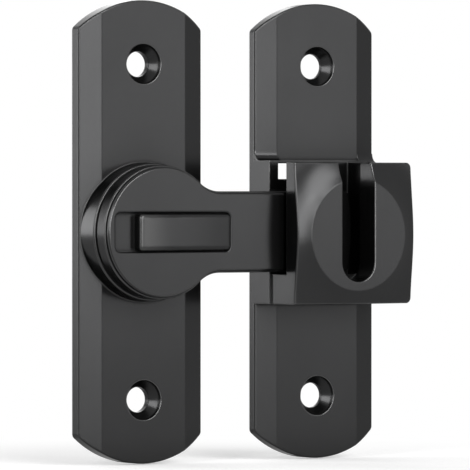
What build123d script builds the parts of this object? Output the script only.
from build123d import *
import math
import os

# A flip-over door latch, shown closed: the arm lies across from its plate into the keeper.
# Lengths are in millimetres. The origin is on the door's surface, on the arm's pivot axis.
# X runs from the latch plate to the keeper, Y into the door and Z up.
# A height is a distance out from the door's surface, towards -Y.

# Both plates
plate_length = 100.0
plate_width = 31.0
plate_end_rise = 6.1
plate_corner_radius = 1.2
plate_flat_width = 21.0
plate_spacing = 45.1
front_edge_chamfer = 0.25

# Thickness of each plate, at its long edges and on its flat
latch_edge_height = 2.7
latch_face_height = 4.1
keeper_edge_height = 2.1
keeper_face_height = 3.45

# Fixing holes
screw_spacing = 72.5
screw_hole_diameter = 5.5
screw_rim_diameter = 8.7
screw_rim_depth = 1.0
countersink_angle = 90.0

# Boss under the arm
boss_foot_diameter = 30.6
boss_front_diameter = 29.7
boss_height = 8.05
boss_core_outer_diameter = 23.0
boss_core_inner_diameter = 13.0
boss_front_wall = 3.6

# Running and assembly clearances
running_clearance = 0.05
slide_clearance = 0.1
swing_clearance = 0.4
assembly_clearance = 0.05

# Pivot post, keyed into the boss and held by a screw from behind
post_journal_diameter = 10.0
post_head_diameter = 16.4
post_head_thickness = 1.0
post_key_diameter = 8.0
post_key_flats = 6.4
post_key_length = 4.0
post_notch_count = 4
post_screw_diameter = 4.0
post_screw_head_diameter = 7.4
post_screw_grip = 5.2

# Washers on the post
friction_washer_diameter = 17.0
friction_washer_thickness = 0.4
thrust_washer_diameter = 15.6
thrust_washer_thickness = 0.3

# Arm
arm_disc_diameter = 28.8
arm_bar_width = 17.6
arm_neck_radius = 7.2
arm_tip_corner_radius = 1.2
arm_thickness = 3.15
arm_web_thickness = 0.8
arm_wall = 0.9
arm_edge_chamfer = 0.2

# Arm cover
cover_inset = 0.4
cover_end = 31.0
cover_thickness = 1.1
cover_groove_height = 0.3
cover_groove_depth = 0.4
cover_edge_chamfer = 0.35
cover_end_radius = 0.75
cover_floor_thickness = 0.8
cover_pan_wall = 0.3

# Screws that hold the cover, put in from the arm's back
cover_pillar_diameter = 3.8
cover_screw_diameter = 2.0
cover_screw_head_diameter = 3.3
cover_screw_length = 3.0
disc_screw_angle = 122.0

# Slide lock
recess_rim = 1.8
recess_width = 8.4
recess_corner_radius = 1.2
recess_rim_radius = 0.35
lock_travel = 5.0
button_side_clearance = 0.2
button_end_clearance = 0.4
button_past_stem = 0.75
button_tall_end = 1.2
button_low_end = 0.1
button_bulge = 0.25
button_corner_radius = 0.9
button_end_radius = 0.8
stem_offset = 1.0
stem_length = 2.4
stem_width = 2.6
peg_size = 1.6
bolt_thickness = 0.9
bolt_width = 8.8
bolt_length = 5.8
bolt_nose_width = 2.8
bolt_corner_radius = 0.6
spring_thickness = 0.3
spring_height = 0.8
spring_length = 7.6

# Keeper
pad_height = 8.1
pad_top = 15.5
pad_fillet_radius = 2.0
catch_top = 15.05
catch_bottom = -15.8
catch_inset = 0.5
catch_corner_radius = 1.2
pocket_depth = 6.1
pocket_length = 20.5
pocket_end_clearance = 1.4
arm_rest_clearance = 0.5
front_wall_thickness = 5.9
disc_radius = 12.2
disc_drop = 0.7
cove_angle = 30.0
cove_radius = 20.0
slot_width = 8.35
slot_reach = 10.2
slot_edge_chamfer = 0.2
window_left = 2.3
window_width = 14.0
window_height = 3.45
window_bar = 0.6
core_wall = 2.0
core_corner_radius = 0.8
core_front_wall = 4.9

# Heights that follow from the stack on the post
arm_back = boss_height + friction_washer_thickness + running_clearance
arm_web_front = arm_back + arm_web_thickness
arm_front = arm_back + arm_thickness
cover_front = arm_front + cover_thickness
head_back = arm_web_front + thrust_washer_thickness + running_clearance
head_front = head_back + post_head_thickness
bolt_back = head_back + running_clearance
bolt_front = bolt_back + bolt_thickness
well_back = max(head_front, bolt_front) + slide_clearance
well_floor = well_back + cover_floor_thickness
button_back = well_floor + running_clearance

# Places that follow from the sizes above
half_width = plate_width / 2
shoulder = plate_length / 2 - plate_end_rise
nose_tip = post_head_diameter / 2 + swing_clearance
notch_floor = nose_tip - lock_travel - 2 * slide_clearance
notch_width = bolt_nose_width + 2 * slide_clearance
bolt_left = nose_tip + lock_travel
bolt_right = bolt_left + bolt_length
stem_x = bolt_left + stem_offset
button_right = stem_x + stem_length / 2 + button_past_stem
recess_right = button_right + slide_clearance
recess_left = recess_rim + cover_inset - arm_disc_diameter / 2
button_left = recess_left + button_end_clearance + lock_travel
button_width = recess_width - 2 * button_side_clearance
cavity_end = bolt_right + swing_clearance
spring_wall = arm_bar_width / 2 - arm_wall
keeper_left = plate_spacing - half_width
keeper_right = plate_spacing + half_width
flat_left = plate_spacing - plate_flat_width / 2
flat_right = plate_spacing + plate_flat_width / 2
pocket_end = keeper_left + pocket_length
arm_reach = pocket_end - pocket_end_clearance
pocket_front = pad_height + pocket_depth
disc_height = pocket_front + front_wall_thickness
shelf_top = -(arm_bar_width / 2 + arm_rest_clearance)


def at_height(height):
    """The plane parallel to the door's surface at this height over it."""
    return Plane.XZ.offset(height)


def outward(item):
    """True for a face that looks away from the door, flat or sloping."""
    return item.normal_at().Y < -0.5


def rim_edges(part):
    """The outer edges of the faces that look away from the door."""
    edges = ShapeList()
    for face in part.faces().filter_by(outward):
        edges.extend(face.edges())
    return ShapeList(edge for edge in edges if edges.count(edge) == 1)


def plate_blank(centre_x, edge_height, face_height):
    """A plate with sloping long edges and curved ends, before its boss or catch is added."""
    with BuildPart() as blank:
        with BuildSketch(Plane.XY.offset(-plate_length / 2)):
            with BuildLine():
                Polyline(
                    (centre_x - half_width, 0),
                    (centre_x - half_width, -edge_height),
                    (centre_x - plate_flat_width / 2, -face_height),
                    (centre_x + plate_flat_width / 2, -face_height),
                    (centre_x + half_width, -edge_height),
                    (centre_x + half_width, 0),
                    close=True,
                )
            make_face()
        extrude(amount=plate_length)
        with BuildSketch(at_height(0)) as outline:
            with BuildLine():
                Line((centre_x - half_width, -shoulder), (centre_x - half_width, shoulder))
                ThreePointArc(
                    (centre_x - half_width, shoulder),
                    (centre_x, plate_length / 2),
                    (centre_x + half_width, shoulder),
                )
                Line((centre_x + half_width, shoulder), (centre_x + half_width, -shoulder))
                ThreePointArc(
                    (centre_x + half_width, -shoulder),
                    (centre_x, -plate_length / 2),
                    (centre_x - half_width, -shoulder),
                )
            make_face()
            fillet(outline.vertices(), plate_corner_radius)
        extrude(amount=face_height, mode=Mode.INTERSECT)
        chamfer(rim_edges(blank), front_edge_chamfer)
    return blank.part


def bevel_blend(outer_x, inner_x, foot_z):
    """A concave blend from a sloping edge of the keeper plate up to the wall that starts at foot_z."""
    ends = [(outer_x, keeper_edge_height), (inner_x, keeper_face_height)]
    near = pad_fillet_radius * (1 - math.sqrt(0.5))
    with BuildPart() as blend:
        for end_x, foot in ends:
            with BuildSketch(Plane.YZ.offset(end_x)):
                with BuildLine():
                    Line((-foot, foot_z + pad_fillet_radius), (-foot, foot_z))
                    Line((-foot, foot_z), (-foot - pad_fillet_radius, foot_z))
                    ThreePointArc(
                        (-foot - pad_fillet_radius, foot_z),
                        (-foot - near, foot_z + near),
                        (-foot, foot_z + pad_fillet_radius),
                    )
                make_face()
        loft()
    return blend.part


def cut_fixing_holes(centre_x, face_height):
    """Two countersunk holes, each cone starting below a short straight rim."""
    cone_top = face_height - screw_rim_depth
    ends = [(centre_x, screw_spacing / 2), (centre_x, -screw_spacing / 2)]
    with Locations(at_height(face_height)):
        with Locations(*ends):
            Hole(screw_rim_diameter / 2, depth=screw_rim_depth)
    with Locations(at_height(cone_top)):
        with Locations(*ends):
            CounterSinkHole(
                screw_hole_diameter / 2,
                screw_rim_diameter / 2,
                counter_sink_angle=countersink_angle,
            )


def double_d(height, grow):
    """The keyed section of the post, larger all round by grow."""
    with BuildSketch(at_height(height)) as section:
        Circle(post_key_diameter / 2 + grow)
        Rectangle(post_key_flats + 2 * grow, post_key_diameter + 2 * grow, mode=Mode.INTERSECT)
    return section.sketch


def arm_outline(height, inset, end):
    """The arm's keyhole outline, smaller all round by inset, with its bar cut square at end."""
    with BuildSketch(at_height(height)) as outline:
        Circle(arm_disc_diameter / 2 - inset)
        with Locations((end / 2, 0)):
            Rectangle(end, arm_bar_width - 2 * inset)
        fillet(outline.vertices().sort_by(Axis.X)[:2], arm_neck_radius + inset)
    return outline.sketch


def rounded_slot(height, left, right, width, radius):
    """A rectangle with rounded corners that runs along the arm."""
    with BuildSketch(at_height(height)) as outline:
        with Locations(((left + right) / 2, 0)):
            RectangleRounded(right - left, width, radius)
    return outline.sketch


# Latch plate: a casting with the boss that carries the arm
with BuildPart() as latch_plate:
    add(plate_blank(0, latch_edge_height, latch_face_height))
    with BuildSketch(Plane.XY):
        with BuildLine():
            Polyline(
                (0, 0),
                (boss_foot_diameter / 2, 0),
                (boss_front_diameter / 2, front_edge_chamfer - boss_height),
                (boss_front_diameter / 2 - front_edge_chamfer, -boss_height),
                (0, -boss_height),
                close=True,
            )
        make_face()
    revolve(axis=Axis.Y)
    with BuildSketch(at_height(0)):
        Circle(boss_core_outer_diameter / 2)
        Circle(boss_core_inner_diameter / 2, mode=Mode.SUBTRACT)
    extrude(amount=boss_height - boss_front_wall, mode=Mode.SUBTRACT)
    extrude(
        double_d(boss_height, assembly_clearance),
        amount=-(post_key_length + assembly_clearance),
        mode=Mode.SUBTRACT,
    )
    with Locations(Plane.XZ.rotated((0, 180, 0))):
        CounterSinkHole(
            post_screw_diameter / 2 + assembly_clearance,
            post_screw_head_diameter / 2,
            depth=boss_height,
            counter_sink_angle=countersink_angle,
        )
    cut_fixing_holes(0, latch_face_height)

# Pivot post: key, journal and notched head in one turned piece
with BuildPart() as pivot_post:
    extrude(double_d(boss_height, 0), amount=-post_key_length)
    with BuildSketch(at_height(boss_height)):
        Circle(post_journal_diameter / 2)
    extrude(amount=head_back - boss_height)
    with BuildSketch(at_height(head_back)):
        Circle(post_head_diameter / 2)
    extrude(amount=post_head_thickness)
    with BuildSketch(at_height(head_back)):
        with PolarLocations(notch_floor + post_head_diameter / 2, post_notch_count):
            Rectangle(post_head_diameter, notch_width)
    extrude(amount=post_head_thickness, mode=Mode.SUBTRACT)
    with BuildSketch(at_height(boss_height - post_key_length)):
        Circle(post_screw_diameter / 2)
    extrude(amount=post_screw_grip, mode=Mode.SUBTRACT)

# Screw that pulls the post into the boss
with BuildPart() as post_screw:
    shank_radius = post_screw_diameter / 2 - assembly_clearance
    head_radius = post_screw_head_diameter / 2 - assembly_clearance
    shank_length = boss_height - post_key_length + post_screw_grip - 2 * assembly_clearance
    with BuildSketch(Plane.XY):
        with BuildLine():
            Polyline(
                (0, 0),
                (head_radius, 0),
                (shank_radius, shank_radius - head_radius),
                (shank_radius, -shank_length),
                (0, -shank_length),
                close=True,
            )
        make_face()
    revolve(axis=Axis.Y)
    socket_size = 2.5
    with BuildSketch(at_height(0)):
        RegularPolygon(socket_size / 2, 6, major_radius=False)
    extrude(amount=head_radius - shank_radius, mode=Mode.SUBTRACT)

# Washers either side of the arm's web
with BuildPart() as friction_washer:
    with BuildSketch(at_height(boss_height)):
        Circle(friction_washer_diameter / 2)
        Circle(post_journal_diameter / 2 + running_clearance, mode=Mode.SUBTRACT)
    extrude(amount=friction_washer_thickness)

with BuildPart() as thrust_washer:
    with BuildSketch(at_height(arm_web_front)):
        Circle(thrust_washer_diameter / 2)
        Circle(post_journal_diameter / 2 + running_clearance, mode=Mode.SUBTRACT)
    extrude(amount=thrust_washer_thickness)

disc_screw_radius = (post_head_diameter / 2 + arm_disc_diameter / 2 - arm_wall) / 2
disc_screw_x = disc_screw_radius * math.cos(math.radians(disc_screw_angle))
disc_screw_z = disc_screw_radius * math.sin(math.radians(disc_screw_angle))
bar_screw_x = (cavity_end + cover_end) / 2
screw_places = [(disc_screw_x, disc_screw_z), (disc_screw_x, -disc_screw_z), (bar_screw_x, 0)]

# Arm body: a tray round the post head and the bolt, and a solid tongue that enters the keeper
with BuildPart() as arm_body:
    with BuildSketch(at_height(arm_back)) as arm_shape:
        add(arm_outline(arm_back, 0, arm_reach))
        Circle(arm_reach, mode=Mode.INTERSECT)
        fillet(arm_shape.vertices().sort_by(Axis.X)[-2:], arm_tip_corner_radius)
    extrude(amount=arm_thickness)
    front_rim = arm_body.faces().sort_by(Axis.Y)[0].edges()
    chamfer(front_rim, arm_edge_chamfer)
    extrude(
        arm_outline(bolt_back - running_clearance, arm_wall, cavity_end),
        amount=arm_front,
        mode=Mode.SUBTRACT,
    )
    with BuildSketch(at_height(arm_web_front)):
        Circle(arm_disc_diameter / 2 - arm_wall)
    extrude(amount=arm_thickness, mode=Mode.SUBTRACT)
    with BuildSketch(at_height(arm_back)):
        Circle(post_journal_diameter / 2 + running_clearance)
    extrude(amount=arm_web_thickness, mode=Mode.SUBTRACT)
    with BuildSketch(at_height(arm_web_front)):
        with Locations(screw_places[-1]):
            Circle(cover_pillar_diameter / 2 + assembly_clearance)
    extrude(amount=arm_thickness, mode=Mode.SUBTRACT)
    with Locations(at_height(arm_back).rotated((0, 180, 0))):
        with Locations(*[(-x, z) for x, z in screw_places]):
            CounterSinkHole(
                cover_screw_diameter / 2 + assembly_clearance,
                cover_screw_head_diameter / 2,
                depth=arm_web_thickness,
                counter_sink_angle=countersink_angle,
            )

# Arm cover: the visible face of the arm, with the recess that the lock button slides in
with BuildPart() as arm_cover:
    lip_back = arm_front + cover_groove_height
    extrude(arm_outline(lip_back, cover_inset, cover_end), amount=cover_front - lip_back)
    end_edge = arm_cover.faces().sort_by(Axis.Y)[0].edges().sort_by(Axis.X)[-1]
    fillet(end_edge, cover_end_radius)
    side_edges = arm_cover.faces().sort_by(Axis.Y)[0].edges().sort_by(Axis.X)[:-1]
    chamfer(side_edges, cover_edge_chamfer)
    groove_inset = cover_inset + cover_groove_depth
    extrude(
        arm_outline(arm_front, groove_inset, cover_end - cover_groove_depth),
        amount=cover_groove_height,
    )
    extrude(
        rounded_slot(
            well_back,
            recess_left - cover_pan_wall,
            recess_right + cover_pan_wall,
            recess_width + 2 * cover_pan_wall,
            recess_corner_radius + cover_pan_wall,
        ),
        amount=arm_front - well_back,
    )
    with BuildSketch(at_height(arm_web_front)):
        with Locations(*screw_places):
            Circle(cover_pillar_diameter / 2)
    extrude(amount=arm_front - arm_web_front)
    extrude(
        rounded_slot(well_floor, recess_left, recess_right, recess_width, recess_corner_radius),
        amount=cover_front,
        mode=Mode.SUBTRACT,
    )
    recess_edges = arm_cover.faces().sort_by(Axis.Y)[0].inner_wires()[0].edges()
    fillet(recess_edges, recess_rim_radius)
    with BuildSketch(at_height(well_back)):
        with Locations((stem_x - lock_travel / 2, 0)):
            Rectangle(
                stem_length + lock_travel + 2 * slide_clearance,
                stem_width + 2 * slide_clearance,
            )
    extrude(amount=cover_floor_thickness, mode=Mode.SUBTRACT)
    with BuildSketch(at_height(arm_web_front)):
        with Locations(*screw_places):
            Circle(cover_screw_diameter / 2)
    extrude(amount=cover_screw_length - arm_web_thickness, mode=Mode.SUBTRACT)

# Cover screws: three alike, flush with the arm's back
with BuildPart() as cover_screws:
    shank_radius = cover_screw_diameter / 2 - assembly_clearance
    head_radius = cover_screw_head_diameter / 2 - assembly_clearance
    for screw_x, screw_z in screw_places:
        head_plane = Plane((screw_x, -arm_back, screw_z), x_dir=(1, 0, 0), z_dir=(0, 0, 1))
        with BuildSketch(head_plane):
            with BuildLine():
                Polyline(
                    (0, 0),
                    (head_radius, 0),
                    (shank_radius, shank_radius - head_radius),
                    (shank_radius, assembly_clearance - cover_screw_length),
                    (0, assembly_clearance - cover_screw_length),
                    close=True,
                )
            make_face()
        revolve(axis=Axis((screw_x, 0, screw_z), (0, 1, 0)))

# Lock button: a wedge-backed slider with a stem down to the bolt
with BuildPart() as lock_button:
    tall = cover_front + button_tall_end
    low = cover_front + button_low_end
    middle = (button_left + button_right) / 2
    with BuildSketch(Plane.XY.offset(-button_width / 2)) as button_side:
        with BuildLine():
            Line((button_left, -tall), (button_left, -button_back))
            Line((button_left, -button_back), (button_right, -button_back))
            Line((button_right, -button_back), (button_right, -low))
            ThreePointArc(
                (button_right, -low),
                (middle, -(tall + low) / 2 - button_bulge),
                (button_left, -tall),
            )
        make_face()
        fillet(button_side.vertices().sort_by(Axis.Y)[0], button_end_radius)
    extrude(amount=button_width)
    fillet(lock_button.edges().filter_by(Axis.Y), button_corner_radius)
    with BuildSketch(at_height(button_back)):
        with Locations((stem_x, 0)):
            Rectangle(stem_length, stem_width)
    extrude(amount=-(button_back - bolt_front))
    with BuildSketch(at_height(bolt_front)):
        with Locations((stem_x, 0)):
            Rectangle(peg_size, peg_size)
    extrude(amount=-bolt_thickness)

# Lock bolt: a flat T whose nose enters a notch in the post's head
with BuildPart() as lock_bolt:
    with BuildSketch(at_height(bolt_back)) as bolt_shape:
        with Locations(((bolt_left + bolt_right) / 2, 0)):
            Rectangle(bolt_length, bolt_width)
        fillet(bolt_shape.vertices(), bolt_corner_radius)
        with Locations(((nose_tip + bolt_right) / 2, 0)):
            Rectangle(bolt_right - nose_tip, bolt_nose_width)
        with Locations((stem_x, 0)):
            Rectangle(
                peg_size + 2 * assembly_clearance,
                peg_size + 2 * assembly_clearance,
                mode=Mode.SUBTRACT,
            )
    extrude(amount=bolt_thickness)

# Leaf spring: bowed between the arm's wall and the bolt's edge, it keeps the bolt where it is put
with BuildPart() as lock_spring:
    spring_middle = cavity_end - swing_clearance - spring_length / 2
    spring_foot = spring_wall - spring_thickness
    spring_crown = bolt_width / 2 + slide_clearance + spring_thickness / 2
    with BuildSketch(at_height(bolt_back)):
        with BuildLine() as bow:
            ThreePointArc(
                (spring_middle - spring_length / 2, spring_foot),
                (spring_middle, spring_crown),
                (spring_middle + spring_length / 2, spring_foot),
            )
        trace(line_width=spring_thickness)
    extrude(amount=spring_height)

# Keeper plate: a casting with a pad, a pocket for the tongue and a slotted front wall over it
with BuildPart() as keeper_plate:
    add(plate_blank(plate_spacing, keeper_edge_height, keeper_face_height))
    with BuildSketch(at_height(0)):
        with Locations((plate_spacing, (catch_top + catch_bottom) / 2)):
            Rectangle(plate_width, catch_top - catch_bottom)
        with Locations(((keeper_left + flat_right) / 2, (pad_top + catch_bottom) / 2)):
            Rectangle(flat_right - keeper_left, pad_top - catch_bottom)
    extrude(amount=pad_height)
    catch_left = keeper_left + catch_inset
    with BuildSketch(at_height(0)) as catch_shape:
        with Locations(((catch_left + keeper_right) / 2, (catch_top + catch_bottom) / 2)):
            Rectangle(keeper_right - catch_left, catch_top - catch_bottom)
        fillet(catch_shape.vertices().sort_by(Axis.X)[-2:], catch_corner_radius)
    extrude(amount=disc_height)
    cove_plane = Plane((plate_spacing, 0, -disc_drop), x_dir=(1, 0, 0), z_dir=(0, 0, 1))
    cove_reach = plate_width
    start = math.radians(cove_angle)
    arc_foot = disc_radius + cove_radius * math.sin(start)
    arc_mid = disc_radius + cove_radius * (math.sin(start) - math.sin(start / 2))
    cove_floor = disc_height - cove_radius * (1 - math.cos(start))
    cove_mid = disc_height - cove_radius * (math.cos(start / 2) - math.cos(start))
    with BuildSketch(cove_plane):
        with BuildLine():
            ThreePointArc((disc_radius, -disc_height), (arc_mid, -cove_mid), (arc_foot, -cove_floor))
            Line((arc_foot, -cove_floor), (cove_reach, -cove_floor))
            Line((cove_reach, -cove_floor), (cove_reach, -2 * disc_height))
            Line((cove_reach, -2 * disc_height), (disc_radius, -2 * disc_height))
            Line((disc_radius, -2 * disc_height), (disc_radius, -disc_height))
        make_face()
    revolve(axis=Axis((plate_spacing, 0, -disc_drop), (0, 1, 0)), mode=Mode.SUBTRACT)
    with BuildSketch(at_height(pad_height)):
        with Locations(((pocket_end + keeper_left) / 2, (shelf_top + plate_length / 2) / 2)):
            Rectangle(pocket_end - keeper_left, plate_length / 2 - shelf_top)
    extrude(amount=pocket_depth, mode=Mode.SUBTRACT)
    slot_end = -disc_drop - slot_reach + slot_width / 2
    with BuildSketch(at_height(pocket_front)):
        with Locations((plate_spacing, slot_end)):
            Circle(slot_width / 2)
        with Locations((plate_spacing, (slot_end + plate_length / 2) / 2)):
            Rectangle(slot_width, plate_length / 2 - slot_end)
    extrude(amount=disc_height, mode=Mode.SUBTRACT)
    wall_front = keeper_plate.edges().filter_by(Axis.Y, reverse=True)
    wall_front = wall_front.filter_by_position(Axis.Y, -2 * disc_height, -cove_floor + slot_edge_chamfer)
    disc_rim = wall_front.filter_by(GeomType.CIRCLE).sort_by(SortBy.RADIUS)[-1:]
    chamfer([edge for edge in wall_front if edge not in disc_rim], slot_edge_chamfer)
    window_top = pad_top - window_bar
    with BuildSketch(at_height(0)):
        with Locations((keeper_left + window_left + window_width / 2, window_top - window_height / 2)):
            Rectangle(window_width, window_height)
    extrude(amount=pad_height, mode=Mode.SUBTRACT)
    core_left = pocket_end + core_wall
    core_right = keeper_right - core_wall
    core_top = catch_top - core_wall
    core_bottom = catch_bottom + core_wall
    with BuildSketch(at_height(0)):
        with Locations(((core_left + core_right) / 2, (core_top + core_bottom) / 2)):
            RectangleRounded(core_right - core_left, core_top - core_bottom, core_corner_radius)
    extrude(amount=disc_height - core_front_wall, mode=Mode.SUBTRACT)
    add(bevel_blend(keeper_left, flat_left, pad_top))
    add(bevel_blend(keeper_right, flat_right, catch_top))
    cut_fixing_holes(plate_spacing, keeper_face_height)

nodes = {
    "latch_plate": latch_plate,
    "keeper_plate": keeper_plate,
    "pivot_post": pivot_post,
    "post_screw": post_screw,
    "friction_washer": friction_washer,
    "thrust_washer": thrust_washer,
    "arm_body": arm_body,
    "arm_cover": arm_cover,
    "cover_screws": cover_screws,
    "lock_button": lock_button,
    "lock_bolt": lock_bolt,
    "lock_spring": lock_spring,
}

os.makedirs("parts", exist_ok=True)
for name, builder in nodes.items():
    builder.part.label = name
    export_step(builder.part, f"parts/{name}.step")
